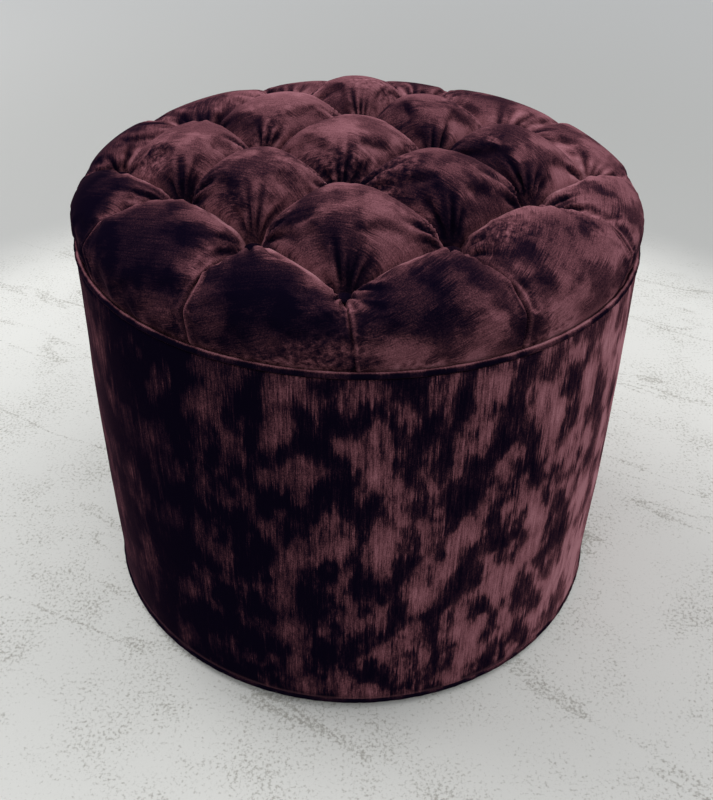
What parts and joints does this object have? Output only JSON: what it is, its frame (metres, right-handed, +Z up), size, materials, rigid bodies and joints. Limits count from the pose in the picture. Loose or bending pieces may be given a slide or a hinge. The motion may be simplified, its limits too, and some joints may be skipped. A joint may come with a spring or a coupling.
{
  "type": "tuffet",
  "caption": "Round upholstered tuffet: a straight velvet drum with piped edges under a deep-buttoned, diamond-tufted pad.",
  "frame": {"origin": "on the floor, under the middle of the drum", "axes": "+Z up along the drum's axis; -Y is the front, facing the picture's camera; +X is to the right"},
  "size_m": [0.5104, 0.5104, 0.4565],
  "materials": {
    "velvet": "crushed velvet, dark plum with a mauve sheen",
    "velvet_piping": "crushed velvet over cord",
    "wadding": "polyester wadding",
    "foam": "upholstery foam",
    "plywood": "birch plywood, unfinished",
    "softwood": "planed pine, unfinished",
    "card": "hardboard and tack card",
    "lining": "black non-woven lining",
    "twine": "waxed tufting twine",
    "nylon": "black nylon",
    "steel": "zinc-plated steel"
  },
  "bodies": {
    "root": {"top_board": "plywood", "base_ring": "plywood", "post_front_right": "softwood", "post_back_right": "softwood", "post_back_left": "softwood", "post_front_left": "softwood", "top_screw_front_right": "steel", "top_screw_back_right": "steel", "top_screw_back_left": "steel", "top_screw_front_left": "steel", "base_screw_front_right": "steel", "base_screw_back_right": "steel", "base_screw_back_left": "steel", "base_screw_front_left": "steel", "drum_panel": "card", "drum_wadding": "wadding", "tack_strip": "card", "drum_cover": "velvet", "top_piping": "velvet_piping", "base_piping": "velvet_piping", "dust_cover": "lining", "glide_right": "nylon", "glide_back": "nylon", "glide_left": "nylon", "glide_front": "nylon", "foam_pad": "foam", "pad_wadding": "wadding", "pad_cover": "velvet", "button_01": "velvet", "button_02": "velvet", "button_03": "velvet", "button_04": "velvet", "button_05": "velvet", "button_06": "velvet", "button_07": "velvet", "button_08": "velvet", "button_09": "velvet", "button_10": "velvet", "button_11": "velvet", "button_12": "velvet", "button_13": "velvet", "button_14": "velvet", "button_15": "velvet", "button_16": "velvet", "twine_01": "twine", "twine_02": "twine", "twine_03": "twine", "twine_04": "twine", "twine_05": "twine", "twine_06": "twine", "twine_07": "twine", "twine_08": "twine", "twine_09": "twine", "twine_10": "twine", "twine_11": "twine", "twine_12": "twine", "twine_13": "twine", "twine_14": "twine", "twine_15": "twine", "twine_16": "twine"}
  },
  "joints": []
}
